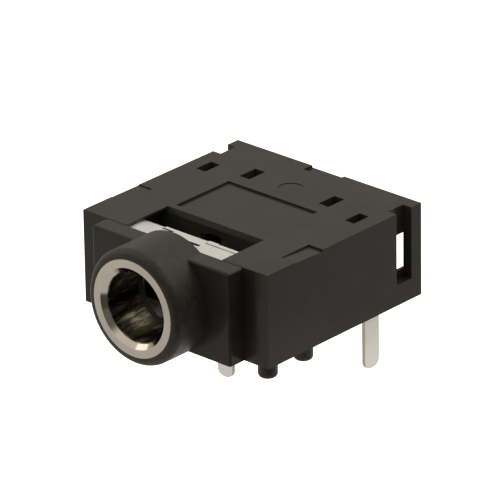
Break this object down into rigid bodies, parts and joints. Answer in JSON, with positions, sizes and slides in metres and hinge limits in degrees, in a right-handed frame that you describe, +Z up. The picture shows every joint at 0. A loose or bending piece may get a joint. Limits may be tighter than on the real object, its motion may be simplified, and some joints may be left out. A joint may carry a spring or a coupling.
{
  "type": "pcb audio jack",
  "caption": "Right-angle audio jack for a circuit board: black block with a round barrel and metal bushing for a 3.5 mm plug, spring contacts inside, flat solder pins and locating pegs below.",
  "frame": {"origin": "middle of the locating pegs, on the board plane under the body", "axes": "+Z up from the board, +Y from the plug's mouth to the rear, +X to the right seen from the mouth"},
  "size_m": [0.012, 0.0142, 0.0089],
  "materials": {
    "housing_plastic": "matte black moulding with a fine spark-eroded texture",
    "bushing_nickel": "satin nickel plate over turned brass",
    "contact_plating": "matt silver plate over stamped brass sheet"
  },
  "bodies": {
    "root": {"housing": "housing_plastic", "bushing": "bushing_nickel", "sleeve_contact": "contact_plating", "ring_spring": "contact_plating", "tip_spring": "contact_plating"}
  },
  "joints": []
}
